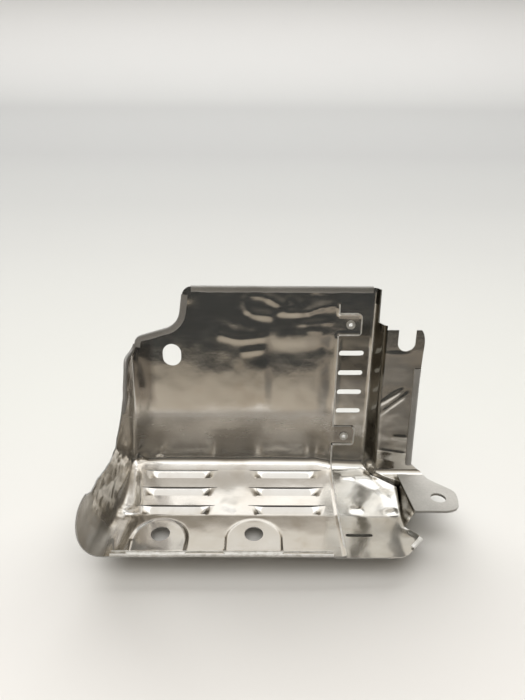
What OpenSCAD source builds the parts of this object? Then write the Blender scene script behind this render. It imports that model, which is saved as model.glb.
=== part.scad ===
// Pressed sheet-metal heat shield for an engine bay: a trough with a leaning back wall, a louvred floor,
// two screw pads, a flared left side and a riveted end panel with a bracket and a tab.
// Lengths are millimetres. X runs to the right, Y away from the open front, Z up.

/* [Sheet] */
// Thickness of the pressed sheet
sheet_t = 0.8; // [0.5:0.05:1.2]
// Width of the folded hems
hem_w = 3.7; // [2.5:0.1:5]
// Clearance between two sheets that lap
lap_gap = 0.05; // [0.02:0.01:0.2]

/* [Trough] */
// How far the back wall leans back from upright, in degrees
wall_lean = 17; // [8:1:25]
// Slant height of the back wall
wall_h = 122; // [112:1:140]
// Depth of the flat louvred floor, from the wall's foot to the fold
floor_d = 40; // [40:0.5:48]
// Depth of the rising front floor, from the fold to the lip
front_d = 26.5; // [24:0.5:32]
// Rise of the front floor, in degrees
front_rise = 16; // [12:1:20]
// Depth of the level lip at the rim
lip_w = 5.5; // [4:0.5:8]
// Inside radius of the bend at the wall's foot
foot_r = 6; // [5:0.5:9]
// Inside radius of the fold and of the lip's bend
fold_r = 4; // [2.5:0.5:6]
// Distance from the middle to the left edge of the floor at the wall's foot
floor_left = 87; // [84:1:95]
// Distance from the middle to the left edge of the floor at the rim
rim_left = 84; // [81:1:92]

/* [Back wall outline] */
// Height where the left crease meets the shoulder
crease_top = 76; // [70:1:80]
// Distance from the middle to the left crease at its top
crease_left = 81.5; // [78:0.5:85]
// Height of the low shoulder beside the step
shoulder_h = 92; // [88:1:96]
// Distance from the middle to the step in the top edge
step_left = 50; // [44:1:56]
// Radius of the step's hollow corner
step_r = 12; // [8:1:14]
// Radius of the outer corners of the outline
corner_r = 6; // [3:1:8]

/* [Oblong hole] */
// Width of the oblong hole
oblong_w = 11.4; // [8:0.1:13]
// Height of the oblong hole
oblong_h = 14.2; // [13.2:0.1:18]
// Height of its centre up the wall
oblong_up = 78.5; // [70:0.5:82]
// Distance from the middle to its centre
oblong_left = 56.6; // [50:0.2:62]

/* [Louvres] */
// Length of a louvre's slit
louvre_l = 48; // [36:1:50]
// Width of a pressed scoop, from its slit to its front edge
scoop_w = 6.4; // [5:0.1:6.8]
// Depth of a pressed scoop
scoop_depth = 4.2; // [2.5:0.1:4.8]
// Distance from the wall's foot to the first slit
louvre_first = 4.6; // [4.5:0.1:6]
// Distance from one slit to the next
louvre_pitch = 14; // [12:0.5:14]
// Number of louvres in a column
louvre_rows = 3; // [2:1:3]
// Middle of the left column, left of the middle
louvre_left = 53.5; // [50:0.5:56]
// Middle of the right column, right of the middle
louvre_right = 15.2; // [13:0.2:18]

/* [Screw pads] */
// Radius of a pad's round top
pad_r = 16.4; // [12:0.2:18]
// Distance from the fold to a pad's round top, in plan
pad_start = 3; // [2:0.5:5]
// Tilt of a pad's face, in degrees
pad_rise = 12.5; // [9:0.5:14]
// Radius of the screw hole in a pad
pad_hole_r = 5.5; // [3:0.1:7]
// Distance from a pad's round top to its hole
pad_hole_back = 11.5; // [9:0.5:14]
// Middle of the left pad, left of the middle
pad_left = 59.7; // [56:0.5:62]
// Middle of the right pad, left of the middle
pad_right = 5.2; // [0:0.2:8]

/* [Left flare] */
// How far the flare stands out at the front ear
ear_bulge = 25; // [16:1:30]
// Height of the front ear above the rim
ear_h = 47; // [36:1:52]

/* [Seam and rivets] */
// Place of the seam between trough and end panel, right of the middle
seam_x = 46.3; // [44:0.1:48]
// How far the end panel reaches behind the trough's sheet
lap_w = 6; // [4:0.5:6.2]
// Side of the square riveted lugs
lug_w = 14; // [12:0.5:15]
// Height of the lower lug's middle
low_lug_h = 22; // [18:0.5:24]
// Height of the upper lug's middle
high_lug_h = 98.2; // [94:0.2:101]
// Height up to which the seam is open below the top band
band_h = 111; // [108:0.5:114]
// Outer radius of a rivet's shank
rivet_r = 1.9; // [1.5:0.1:2.4]
// Radius of a rivet's bore
rivet_bore_r = 1.2; // [0.8:0.1:1.4]
// Radius of a rivet's head
rivet_head_r = 2.7; // [2.5:0.1:3.5]
// Height of a rivet's head
rivet_head_h = 0.6; // [0.4:0.1:1]
// Clearance round a rivet's shank
rivet_gap = 0.05; // [0.02:0.01:0.1]

/* [End panel] */
// Right edge of the slotted strip, right of the middle
strip_right = 67.5; // [66.5:0.5:70]
// Length of a vent slot
slot_l = 15.6; // [12:0.2:16]
// Height of a vent slot
slot_h = 3.3; // [2:0.1:4]
// Height of the lowest vent slot
slot_first = 40; // [38:0.5:44]
// Distance from one vent slot to the next
slot_pitch = 13.1; // [10:0.1:13.5]
// Number of vent slots
slot_count = 4; // [1:1:4]
// Inside radius of the step's two bends
step_bend = 2.5; // [1.5:0.5:3]
// Right edge of the panel's floor beside the bracket, right of the middle
floor_right = 86.5; // [84.5:0.5:88]
// Right edge of the panel's floor beside the tab's front edge, right of the middle
floor_right_front = 84.5; // [82:0.5:86]
// How far the floor's slanting edge runs in front of the bracket's foot
slant_run = 9; // [7:0.5:12]
// Tip of the floor's front corner, right of the middle
corner_right = 92; // [89:0.5:94]
// Distance from the fold to that tip
corner_d = 20; // [17:0.5:23]
// Radius of the rim's round right end
rim_end_r = 12; // [8:1:16]
// How far the bracket stands in front of the wall
step_d = 11.5; // [8:0.5:14]
// How far the step's wall leans outwards
step_run = 4; // [2:0.5:6]
// Right edge of the bracket, right of the middle
bracket_right = 96; // [94:0.5:100]
// Height of the bracket's top
bracket_h = 98.4; // [92:0.2:102]
// Width of the open notch in the bracket
notch_w = 10.4; // [8:0.1:12]
// Depth of the open notch
notch_depth = 13.2; // [9:0.2:16]
// Middle of the open notch, right of the middle
notch_x = 85.2; // [84:0.2:86]
// Height of the bracket's hem
bracket_hem_h = 74.5; // [60:0.5:78]

/* [Tab] */
// Height of the tab's plate where it leaves the bracket
tab_z = 4.6; // [3:0.2:7]
// Rise of the tab's plate towards the front, in degrees
tab_rise = 16; // [10:1:20]
// Right edge of the tab's plate at the bracket's foot, right of the middle
tab_root = 103.5; // [100:0.5:106]
// Tip of the tab, right of the middle
tab_right = 117.6; // [114:0.2:122]
// How far the tip lies in front of the bracket's foot
tab_reach = 20; // [17:1:24]
// Front edge of the tab, in front of the wall's foot
tab_front = 48.7; // [46:0.1:50]
// Radius of the tab's screw hole
tab_hole_r = 4.5; // [3:0.1:5]
// Tab hole, right of the middle
tab_hole_x = 105.6; // [104:0.2:108]
// Tab hole, in front of the wall's foot
tab_hole_y = 36.8; // [35:0.2:39]

/* [Floor slot] */
// Length of the slot in the end panel's floor
floor_slot_l = 15.8; // [10:0.2:18]
// Width of that slot
floor_slot_w = 2.4; // [1.5:0.1:4]
// Distance from the fold to that slot, in plan
floor_slot_d = 15.5; // [12:0.5:18]

/* [Hidden] */
$fn = 48;
arc_steps = 6;
over = 1;
deep = 40;
wide = 240;
slope = tan(front_rise);
rim_z = front_d * slope;
lip_y = -floor_d - front_d;
rim_y = lip_y - lip_w;
wall_turn = 90 - wall_lean;
wall_dir = [sin(wall_lean), cos(wall_lean)];
side_line = [[rim_y, rim_z], [lip_y, rim_z], [-floor_d, 0], [0, 0], wall_dir * wall_h];
side_bends = [0, fold_r, fold_r, foot_r, 0];
lapped = sheet_t + lap_gap;
lap_left = seam_x - lap_w;
step_x = strip_right + step_run;
rivet_x = seam_x + lug_w / 2;
pad_top_y = -floor_d - pad_start;
pad_top_z = pad_start * slope;
pad_mid_y = pad_top_y - pad_r;
pad_hole_y = pad_top_y - pad_hole_back * cos(pad_rise);
pad_hole_z = pad_top_z + pad_hole_back * sin(pad_rise);
origin = [-pad_left, pad_hole_y, pad_hole_z];
tab_back = step_d / cos(wall_lean) - tab_z * tan(wall_lean);
corner_depth = 4;
band_right = strip_right - step_bend + 0.5;

// Right-hand edge of the end panel's floor, which the web stands on and the tab's inner edge follows
web_line = [
    [strip_right + sheet_t / 2, 0], [step_x, over - tab_back],
    [floor_right, -tab_back - slant_run], [floor_right_front, -tab_front]
];
web_bends = [0, 3, 4, 0];

// Stations of the left flare. Each has its place along the crease, above the foot or in front of it.
// The free edge's distance to the left, back and up is in ear heights, and the bulge in ear bulges.
flare = [
    [crease_top * 1.12, [-0.03, -0.06, 0.06], 0],
    [crease_top * 0.92, [-0.03, -0.19, 0.19], 0.02],
    [crease_top * 0.66, [-0.07, -0.38, 0.21], 0.04],
    [crease_top * 0.29, [-0.10, -0.43, 0.38], 0.08],
    [floor_d * -0.1, [-0.11, -0.47, 0.62], 0.12],
    [floor_d * -0.75, [-0.17, -0.34, 0.74], 0.28],
    [lip_y * 0.85, [-0.16, -0.11, 0.89], 0.64],
    [rim_y, [-0.11, 0.08, 1], 1]
];
flare_rings = 4;
flare_steps = 7;

// One step along a smooth curve through four values
function smooth(a, b, c, d, t) = 0.5 * (
    2 * b + (c - a) * t + (2 * a - 5 * b + 4 * c - d) * t * t + (3 * b - a - 3 * c + d) * t * t * t
);
function unit(v) = v / norm(v);
function turned(v, angle) = [v.x * cos(angle) - v.y * sin(angle), v.x * sin(angle) + v.y * cos(angle)];
function reversed(list) = [for (i = [len(list) - 1 : -1 : 0]) list[i]];

// One side of a strip bent along a line, at an offset to the line's left, with round bends
function bent_side(line, radii, off) = [
    for (i = [0 : len(line) - 1])
        let (
            last = len(line) - 1,
            before = unit(i > 0 ? line[i] - line[i - 1] : line[1] - line[0]),
            after = unit(i < last ? line[i + 1] - line[i] : line[last] - line[last - 1]),
            swing = atan2(cross(before, after), before * after),
            side = [-before.y, before.x],
            lead = radii[i] * tan(abs(swing) / 2),
            centre = line[i] - before * lead + side * radii[i] * sign(swing),
            steps = radii[i] > 0 ? arc_steps : 0
        )
        for (k = [0 : steps])
            radii[i] > 0
                ? centre + turned(side, swing * k / steps) * (off - radii[i] * sign(swing))
                : line[i] + side * off
];
function sheet_section(line, radii, from, to) = concat(
    bent_side(line, radii, from), reversed(bent_side(line, radii, to))
);

// Height of the floor's upper face at a place in front of the foot
function floor_z(y) = y < lip_y ? rim_z : y < -floor_d ? (-floor_d - y) * slope : 0;

// Point on the crease where the left flare leaves the trough, s above the foot or in front of it
function crease_point(s) = s > 0
    ? [-floor_left + (floor_left - crease_left) * min(s / crease_top, 1) + max(s - crease_top, 0) * 0.4,
       s * wall_dir.x, s * wall_dir.y]
    : [-floor_left + (floor_left - rim_left) * s / rim_y, s, floor_z(s) - sheet_t / 2];
function flare_station(i) = flare[min(max(i, 0), len(flare) - 1)];
function flare_row(i, t) =
    let (
        a = flare_station(i - 1), b = flare_station(i), c = flare_station(i + 1), d = flare_station(i + 2),
        foot = crease_point(smooth(a[0], b[0], c[0], d[0], t)) + [0.5, 0, 0],
        reach = ear_h * smooth(a[1], b[1], c[1], d[1], t),
        bulge = ear_bulge * smooth(a[2], b[2], c[2], d[2], t)
    )
    [foot, foot + reach / 2 + bulge * [-1, 0, -0.4], foot + reach];
flare_rows = concat(
    [for (i = [0 : len(flare) - 2]) for (k = [0 : flare_rings - 1]) flare_row(i, k / flare_rings)],
    [flare_row(len(flare) - 2, 1)]
);
function flare_point(row, u) = (1 - u) ^ 2 * row[0] + 2 * u * (1 - u) * row[1] + u ^ 2 * row[2];
function flare_at(i, j) = flare_point(flare_rows[i], j / flare_steps);
function flare_normal(i, j) =
    let (
        last = len(flare_rows) - 1,
        along = flare_at(min(i + 1, last), j) - flare_at(max(i - 1, 0), j),
        across = flare_at(i, min(j + 1, flare_steps)) - flare_at(i, max(j - 1, 0))
    )
    unit(cross(along, across));

module placed() {
    translate(-origin) children();
}

module on_wall() {
    rotate([wall_turn, 0, 0]) children();
}

module on_pad() {
    translate([0, pad_top_y, pad_top_z]) rotate([-pad_rise, 0, 0]) children();
}

module on_tab() {
    translate([0, -tab_back, tab_z]) rotate([-tab_rise, 0, 0]) children();
}

// Sheet that follows the trough's side line, between two offsets from its upper face
module side_sheet(left, right, from, to) {
    translate([left, 0, 0])
        rotate([90, 0, 90])
            linear_extrude(height = right - left)
                polygon(sheet_section(side_line, side_bends, from, to));
}

module round_slot(length, width) {
    square([length - width, width], center = true);
    for (side = [-1, 1])
        translate([side * (length - width) / 2, 0]) circle(d = width);
}

module wall_prism(low, high) {
    on_wall() translate([0, 0, low]) linear_extrude(height = high - low) children();
}

module lug_outline(middle) {
    line = [
        [seam_x - over, middle + lug_w / 2], [seam_x + lug_w, middle + lug_w / 2],
        [seam_x + lug_w, middle - lug_w / 2], [seam_x - over, middle - lug_w / 2]
    ];
    polygon(bent_side(line, [0, 2.5, 2.5, 0], 0));
}

// Top edge of the trough's back wall, from the left crease over the shoulder and the step
top_line = [
    [-floor_left, 0], [-crease_left, crease_top], [-crease_left + 3, shoulder_h - 2],
    [-step_left - 2, shoulder_h + 6], [-step_left + 1.5, wall_h], [band_right, wall_h]
];
top_bends = [0, 0, corner_r, step_r, corner_r, 0];

module trough_wall_outline() {
    polygon(concat(bent_side(top_line, top_bends, 0), [[band_right, band_h], [seam_x, band_h], [seam_x, 0]]));
    lug_outline(low_lug_h);
    lug_outline(high_lug_h);
}

// Hem folded forward along the top edge
module trough_hem() {
    hem_line = [for (i = [2 : len(top_line) - 1]) top_line[i]];
    hem_bends = [0, step_r, corner_r, 0];
    wall_prism(-over / 2, sheet_t)
        polygon(sheet_section(hem_line, hem_bends, 0, -hem_w));
}

// Hem folded under along the rim, on the lower face of a sheet
module rim_hem(left, right, face) {
    intersection() {
        side_sheet(left, right, face + over / 4, face - sheet_t);
        translate([left, rim_y - over, rim_z - deep]) cube([right - left, hem_w + over, 2 * deep]);
    }
}

// Round-ended cutter for a louvre's scoop
module scoop_body(radius, half) {
    rotate([0, 90, 0])
        rotate_extrude()
            intersection() {
                union() {
                    translate([0, half]) circle(r = radius);
                    translate([0, -half]) circle(r = radius);
                    translate([0, -half]) square([radius, 2 * half]);
                }
                translate([0, -half - radius]) square([radius, 2 * (half + radius)]);
            }
}

scoop_r = (scoop_w ^ 2 + scoop_depth ^ 2) / (2 * scoop_depth);
scoop_lift = scoop_r - scoop_depth;
scoop_half = louvre_l / 2 - scoop_w;

module at_louvres() {
    for (column = [-louvre_left, louvre_right])
        for (row = [0 : louvre_rows - 1])
            translate([column, -louvre_first - row * louvre_pitch, scoop_lift]) children();
}

module front_half() {
    translate([-deep, -2 * deep, -2 * deep]) cube([2 * deep, 2 * deep, 4 * deep]);
}

module scoop_hollow() {
    intersection() {
        scoop_body(scoop_r, scoop_half);
        front_half();
    }
}

module scoop_shell() {
    difference() {
        intersection() {
            scoop_body(scoop_r + sheet_t, scoop_half);
            front_half();
            translate([-deep, -deep, -deep - scoop_lift]) cube([2 * deep, 2 * deep, deep]);
        }
        scoop_body(scoop_r, scoop_half);
    }
}

module pad_outline(x, grow) {
    translate([x, pad_mid_y]) circle(r = pad_r + grow);
    translate([x - pad_r - grow, rim_y - over]) square([2 * (pad_r + grow), pad_mid_y - rim_y + over]);
}

module pad_prism(x, grow) {
    translate([0, 0, -deep / 2]) linear_extrude(height = deep) pad_outline(x, grow);
}

// Recessed pad: its plate, and the thin wall that joins it to the floor round it
module pad_form(x) {
    intersection() {
        pad_prism(x, 0);
        on_pad() translate([-wide / 2, rim_y, -sheet_t]) cube([wide, -rim_y, sheet_t]);
        translate([-wide / 2, rim_y, -deep]) cube([wide, deep, 2 * deep]);
    }
    difference() {
        intersection() {
            pad_prism(x, sheet_t);
            side_sheet(x - 2 * pad_r, x + 2 * pad_r, 0, -2 * sheet_t - pad_start);
        }
        pad_prism(x, 0);
        on_pad() translate([-wide / 2, rim_y, -deep - sheet_t]) cube([wide, deep - rim_y, deep]);
    }
}

module pad_hole(x) {
    on_pad() translate([x, -pad_hole_back, -deep / 2]) cylinder(h = deep, r = pad_hole_r);
}

module flare_skin() {
    rows = len(flare_rows);
    cols = flare_steps + 1;
    count = rows * cols;
    points = [
        for (side = [1, -1]) for (i = [0 : rows - 1]) for (j = [0 : cols - 1])
            flare_at(i, j) + flare_normal(i, j) * side * sheet_t / 2
    ];
    function at(side, i, j) = side * count + i * cols + j;
    faces = concat(
        [for (i = [0 : rows - 2]) for (j = [0 : cols - 2]) each [
            [at(0, i, j), at(0, i, j + 1), at(0, i + 1, j + 1)],
            [at(0, i, j), at(0, i + 1, j + 1), at(0, i + 1, j)],
            [at(1, i, j), at(1, i + 1, j + 1), at(1, i, j + 1)],
            [at(1, i, j), at(1, i + 1, j), at(1, i + 1, j + 1)]
        ]],
        [for (i = [0 : rows - 2]) each [
            [at(0, i, 0), at(0, i + 1, 0), at(1, i + 1, 0)],
            [at(0, i, 0), at(1, i + 1, 0), at(1, i, 0)],
            [at(0, i, cols - 1), at(1, i + 1, cols - 1), at(0, i + 1, cols - 1)],
            [at(0, i, cols - 1), at(1, i, cols - 1), at(1, i + 1, cols - 1)]
        ]],
        [for (j = [0 : cols - 2]) each [
            [at(0, 0, j), at(1, 0, j + 1), at(0, 0, j + 1)],
            [at(0, 0, j), at(1, 0, j), at(1, 0, j + 1)],
            [at(0, rows - 1, j), at(0, rows - 1, j + 1), at(1, rows - 1, j + 1)],
            [at(0, rows - 1, j), at(1, rows - 1, j + 1), at(1, rows - 1, j)]
        ]]
    );
    polyhedron(points = points, faces = faces, convexity = 6);
}

module rivet_holes() {
    for (height = [low_lug_h, high_lug_h])
        wall_prism(-deep / 4, deep / 4) translate([rivet_x, height]) circle(r = rivet_r + rivet_gap);
}

module trough_sheet() {
    intersection() {
        side_sheet(-wide / 2, wide / 2, 0, -sheet_t);
        union() {
            wall_prism(-2 * sheet_t, foot_r + over) trough_wall_outline();
            translate([0, 0, -deep / 2])
                linear_extrude(height = deep)
                    polygon([[-floor_left, 0], [seam_x, 0], [seam_x, rim_y], [-rim_left, rim_y]]);
        }
    }
}

module trough_shell() {
    color([0.62, 0.61, 0.58])
        placed()
            difference() {
                union() {
                    difference() {
                        trough_sheet();
                        at_louvres() scoop_hollow();
                        pad_prism(-pad_left, 0);
                        pad_prism(-pad_right, 0);
                    }
                    at_louvres() scoop_shell();
                    pad_form(-pad_left);
                    pad_form(-pad_right);
                    trough_hem();
                    rim_hem(-rim_left, lap_left - lap_gap, -sheet_t);
                    flare_skin();
                }
                pad_hole(-pad_left);
                pad_hole(-pad_right);
                rivet_holes();
                wall_prism(-deep / 4, deep / 4)
                    translate([-oblong_left, oblong_up]) rotate(90) round_slot(oblong_h, oblong_w);
            }
}

// Front right corner of the end panel's floor, after the web's line
corner_line = [
    [corner_right, -floor_d - corner_d], [corner_right - rim_end_r, rim_y + over],
    [corner_right - 2.5 * rim_end_r, rim_y - over], [lap_left, rim_y - over]
];

module end_floor_outline() {
    line = concat([[lap_left, 0]], web_line, corner_line);
    bends = concat([0], [0, 3, 4, 4], [3, rim_end_r, 0, 0]);
    polygon(bent_side(line, bends, 0));
}

// Strip, step wall and the bracket's inner edge, seen along the wall's slope
module step_sheet() {
    line = [
        [strip_right - 2 * step_bend, -lapped], [strip_right, -lapped],
        [step_x, step_d], [step_x + 2 * step_bend, step_d]
    ];
    bends = [0, step_bend, step_bend, 0];
    difference() {
        intersection() {
            on_wall()
                translate([0, wall_h, 0])
                    rotate([90, 0, 0])
                        linear_extrude(height = wall_h + step_d)
                            polygon(sheet_section(line, bends, 0, -sheet_t));
            wall_prism(-deep / 4, deep)
                polygon([
                    [strip_right - deep, -step_d], [strip_right - deep, wall_h - over],
                    [step_x - over, wall_h - corner_depth], [step_x - over, bracket_h + corner_r],
                    [step_x + 2 * over, bracket_h], [step_x + deep, bracket_h], [step_x + deep, -step_d]
                ]);
            step_depth();
        }
        below_end_sheet();
    }
}

// The step wall is shallow above the bracket and full below it
module step_depth() {
    on_wall() translate([0, -step_d, -deep / 4]) cube([wide, bracket_h + step_d, deep]);
    on_wall() translate([0, bracket_h, -deep / 4]) cube([wide, deep, deep / 4 + corner_depth]);
}

module bracket_outline() {
    line = [
        [step_x + 1, 0], [step_x + 1, bracket_h], [bracket_right - 2, bracket_h],
        [bracket_right, bracket_h - 7], [bracket_right - 0.5, bracket_hem_h], [bracket_right, 0]
    ];
    polygon(bent_side(line, [0, 1, 1.5, 3, 0, 0], 0));
}

module bracket_notch() {
    bottom = bracket_h - notch_depth + notch_w / 2;
    translate([notch_x, bottom]) circle(d = notch_w);
    translate([notch_x - notch_w / 2, bottom]) square([notch_w, notch_depth]);
}

module tab_outline() {
    line = [
        [step_x + over, 0], [tab_root, 0], [tab_root, -tab_back - 0.35 * tab_reach],
        [tab_right, -tab_back - tab_reach], [tab_right - corner_r / 2, -tab_front],
        [floor_right_front, -tab_front]
    ];
    inner = [for (i = [2 : -1 : 1]) web_line[i]];
    polygon(concat(bent_side(line, [0, 2, corner_r, corner_r, corner_r, 1], 0), inner));
}

// Bracket and tab are one plate, folded at the bracket's foot
module bracket_and_tab() {
    run = tab_front - tab_back;
    line = [
        [-tab_front - over, tab_z + (run + over) * tan(tab_rise)], [-tab_back, tab_z],
        [-tab_back, tab_z] + wall_dir * wall_h
    ];
    difference() {
        intersection() {
            translate([step_x, 0, 0])
                rotate([90, 0, 90])
                    linear_extrude(height = 2 * deep)
                        polygon(sheet_section(line, [0, 4, 0], 0, -sheet_t));
            union() {
                wall_prism(step_d - 2, step_d + 5) bracket_outline();
                intersection() {
                    translate([0, 0, -deep / 2]) linear_extrude(height = deep + wide / 4) tab_outline();
                    on_tab() translate([0, -wide / 2, -over - sheet_t]) cube([wide, wide, 5]);
                }
            }
        }
        wall_prism(0, deep) bracket_notch();
    }
}

module tab_hole() {
    on_tab()
        translate([tab_hole_x, (tab_back - tab_hole_y) / cos(tab_rise), -deep / 2])
            cylinder(h = deep, r = tab_hole_r);
}

module bracket_hem() {
    wall_prism(step_d - over / 2, step_d + sheet_t)
        translate([bracket_right - hem_w - 0.8, tab_z + 4])
            square([hem_w, bracket_hem_h - tab_z - 4]);
}

// The tab's sheet is folded double, so its plate is two sheets thick
module tab_doubler() {
    intersection() {
        translate([0, 0, -deep / 2]) linear_extrude(height = deep + wide / 4) tab_outline();
        on_tab()
            translate([floor_right, -wide / 2, -over / 4])
                cube([wide, wide / 2 - step_d, sheet_t + over / 4]);
    }
}

// Upright web between the floor's right edge and the tab
module web() {
    difference() {
        translate([0, 0, -deep / 2])
            linear_extrude(height = deep)
                polygon(sheet_section(web_line, web_bends, 0, -sheet_t));
        on_tab() translate([0, -wide / 2, 0]) cube([wide, wide, deep]);
        below_end_sheet();
    }
}

// All that lies under and behind the end panel's sheet
module below_end_sheet() {
    side_sheet(0, wide / 2, -lapped - sheet_t, -deep);
}

module end_sheet() {
    intersection() {
        side_sheet(lap_left, wide / 2, -lapped, -lapped - sheet_t);
        union() {
            wall_prism(-4 * sheet_t, foot_r + over)
                translate([lap_left, 0]) square([strip_right - 3 - lap_left, wall_h - over]);
            translate([0, 0, -deep / 2]) linear_extrude(height = deep) end_floor_outline();
        }
    }
}

module vent_slots() {
    middle = seam_x + over + slot_l / 2;
    for (i = [0 : slot_count - 1])
        wall_prism(-deep / 4, deep / 4)
            translate([middle, slot_first + i * slot_pitch]) round_slot(slot_l, slot_h);
}

module floor_slot() {
    translate([seam_x + over * 2 + floor_slot_l / 2, -floor_d - floor_slot_d, -deep / 2])
        linear_extrude(height = deep)
            round_slot(floor_slot_l, floor_slot_w);
}

module end_panel() {
    color([0.52, 0.51, 0.49])
        placed()
            difference() {
                union() {
                    end_sheet();
                    step_sheet();
                    bracket_and_tab();
                    bracket_hem();
                    tab_doubler();
                    web();
                    rim_hem(lap_left, corner_right - 2 * rim_end_r, -lapped - sheet_t);
                }
                tab_hole();
                vent_slots();
                floor_slot();
                rivet_holes();
            }
}

// Hollow rivet through a lug and the end panel, with a head on each side
module rivet(height) {
    behind = lapped + sheet_t;
    on_wall()
        translate([rivet_x, height, 0])
            rotate_extrude()
                difference() {
                    union() {
                        translate([0, -behind - rivet_head_h])
                            square([rivet_r, behind + 2 * rivet_head_h]);
                        square([rivet_head_r, rivet_head_h]);
                        translate([0, -behind - rivet_head_h]) square([rivet_head_r, rivet_head_h]);
                    }
                    translate([0, -deep / 2]) square([rivet_bore_r, deep]);
                }
}

module upper_rivet() {
    color([0.74, 0.74, 0.72]) placed() rivet(high_lug_h);
}

module lower_rivet() {
    color([0.74, 0.74, 0.72]) placed() rivet(low_lug_h);
}

trough_shell();
end_panel();
upper_rivet();
lower_rivet();
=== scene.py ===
import math

import bpy
import numpy as np
from mathutils import Matrix, Vector, noise


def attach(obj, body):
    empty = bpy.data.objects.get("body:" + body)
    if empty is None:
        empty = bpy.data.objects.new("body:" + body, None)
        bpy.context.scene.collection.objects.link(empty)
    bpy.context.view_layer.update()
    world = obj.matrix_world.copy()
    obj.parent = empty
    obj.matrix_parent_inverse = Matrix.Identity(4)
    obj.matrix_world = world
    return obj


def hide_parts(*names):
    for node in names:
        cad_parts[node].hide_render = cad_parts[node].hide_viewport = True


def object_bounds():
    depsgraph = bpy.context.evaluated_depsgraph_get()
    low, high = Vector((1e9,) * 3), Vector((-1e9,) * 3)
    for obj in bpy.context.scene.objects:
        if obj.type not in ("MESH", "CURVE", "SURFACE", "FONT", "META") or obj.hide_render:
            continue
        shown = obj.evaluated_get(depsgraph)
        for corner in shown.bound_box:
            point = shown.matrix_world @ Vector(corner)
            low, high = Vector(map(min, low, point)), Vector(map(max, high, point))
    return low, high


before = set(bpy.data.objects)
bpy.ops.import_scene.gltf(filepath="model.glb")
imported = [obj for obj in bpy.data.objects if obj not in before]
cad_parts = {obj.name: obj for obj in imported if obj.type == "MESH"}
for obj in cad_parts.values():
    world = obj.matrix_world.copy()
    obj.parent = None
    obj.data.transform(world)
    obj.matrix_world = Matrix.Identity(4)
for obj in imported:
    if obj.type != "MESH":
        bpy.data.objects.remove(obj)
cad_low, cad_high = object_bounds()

# Camera. The shield lies on its louvres and is looked down on from the front, as a phone held over a
# table sees it. Lengths are millimetres from the middle of the wall's foot, and place() turns them
# into the frame's metres, whose origin is the left pad's hole.
FRAME_ORIGIN = np.array([-59.7, -54.2274, 3.3493])


def place(points):
    return (np.asarray(points, dtype=float) - FRAME_ORIGIN) / 1000


eye = Vector(place([-2.72, -234.26, 267.06]))
pitch, yaw, roll = math.radians(36.194), math.radians(0.495), math.radians(-0.559)
ahead = Vector((math.sin(yaw) * math.cos(pitch), math.cos(yaw) * math.cos(pitch), -math.sin(pitch)))
level = Vector((math.cos(yaw), -math.sin(yaw), 0))
below = ahead.cross(level)
across = level * math.cos(roll) + below * math.sin(roll)
down = below * math.cos(roll) - level * math.sin(roll)
bpy.ops.object.camera_add(location=eye)
camera = bpy.context.object
camera.matrix_world = Matrix.Translation(eye) @ Matrix((across, -down, -ahead)).transposed().to_4x4()
camera.data.sensor_width = 36
camera.data.lens = 26.53
camera.data.clip_start = 0.01
bpy.context.scene.camera = camera
bpy.context.scene.view_settings.view_transform = "Standard"


# Studio. A pale table runs back and sweeps up into a backdrop, under a soft light from above and a
# window behind. The room is pale overhead and at the back and dark on the photographer's side, which
# the polished sheet shows.
class Wire:
    """A shader socket that takes part in sums and products like a number."""

    def __init__(self, tree, socket):
        self.tree, self.socket = tree, socket

    def math(self, operation, *others, clamp=False):
        inputs = dict(enumerate((self,) + others))
        return nodes(self.tree, "ShaderNodeMath", {"operation": operation, "use_clamp": clamp}, inputs)[0]

    def __add__(self, other):
        return self.math("ADD", other)

    def __mul__(self, other):
        return self.math("MULTIPLY", other)

    def __sub__(self, other):
        return self.math("SUBTRACT", other)

    def __truediv__(self, other):
        return self.math("DIVIDE", other)

    def __rsub__(self, other):
        return self * -1.0 + other

    __radd__ = __add__
    __rmul__ = __mul__


def nodes(tree, kind, settings=None, inputs=None):
    made = tree.nodes.new(kind)
    for key, value in (settings or {}).items():
        if key == "stops":
            stops = made.color_ramp.elements
            while len(stops) < len(value):
                stops.new(0.5)
            for stop, (position, colour) in zip(stops, value):
                stop.position, stop.color = position, (*colour, 1)
        else:
            setattr(made, key, value)
    for key, value in (inputs or {}).items():
        if isinstance(value, Wire):
            tree.links.new(value.socket, made.inputs[key])
        else:
            made.inputs[key].default_value = value
    return [Wire(tree, socket) for socket in made.outputs]


def new_material(name):
    made = bpy.data.materials.new(name)
    made.use_nodes = True
    made.node_tree.nodes.clear()
    return made, made.node_tree


def object_place(tree, stretch=(1, 1, 1)):
    spot = nodes(tree, "ShaderNodeTexCoord")[3]
    return nodes(tree, "ShaderNodeMapping", None, {"Vector": spot, "Scale": stretch})[0]


def grain(tree, spot, scale, detail, roughness=0.5):
    inputs = {"Vector": spot, "Scale": scale, "Detail": detail, "Roughness": roughness}
    return nodes(tree, "ShaderNodeTexNoise", None, inputs)[0]


def axes(tree, vector):
    return nodes(tree, "ShaderNodeSeparateXYZ", None, {"Vector": vector})


def ramp(tree, value, stops):
    return nodes(tree, "ShaderNodeValToRGB", {"stops": stops}, {"Fac": value})[0]


def mixed(tree, share, first, second):
    return nodes(tree, "ShaderNodeMix", {"data_type": "RGBA"}, {0: share, 6: first, 7: second})[2]


def rising(wire, start, slope):
    """0 up to a value and 1 past it, or the other way round where the slope is negative."""
    return (wire - start).math("MULTIPLY", slope, clamp=True)


def finish_material(tree, **inputs):
    inputs = {key.replace("_", " "): value for key, value in inputs.items()}
    shader = nodes(tree, "ShaderNodeBsdfPrincipled", None, inputs)[0]
    nodes(tree, "ShaderNodeOutputMaterial", None, {"Surface": shader})


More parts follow.
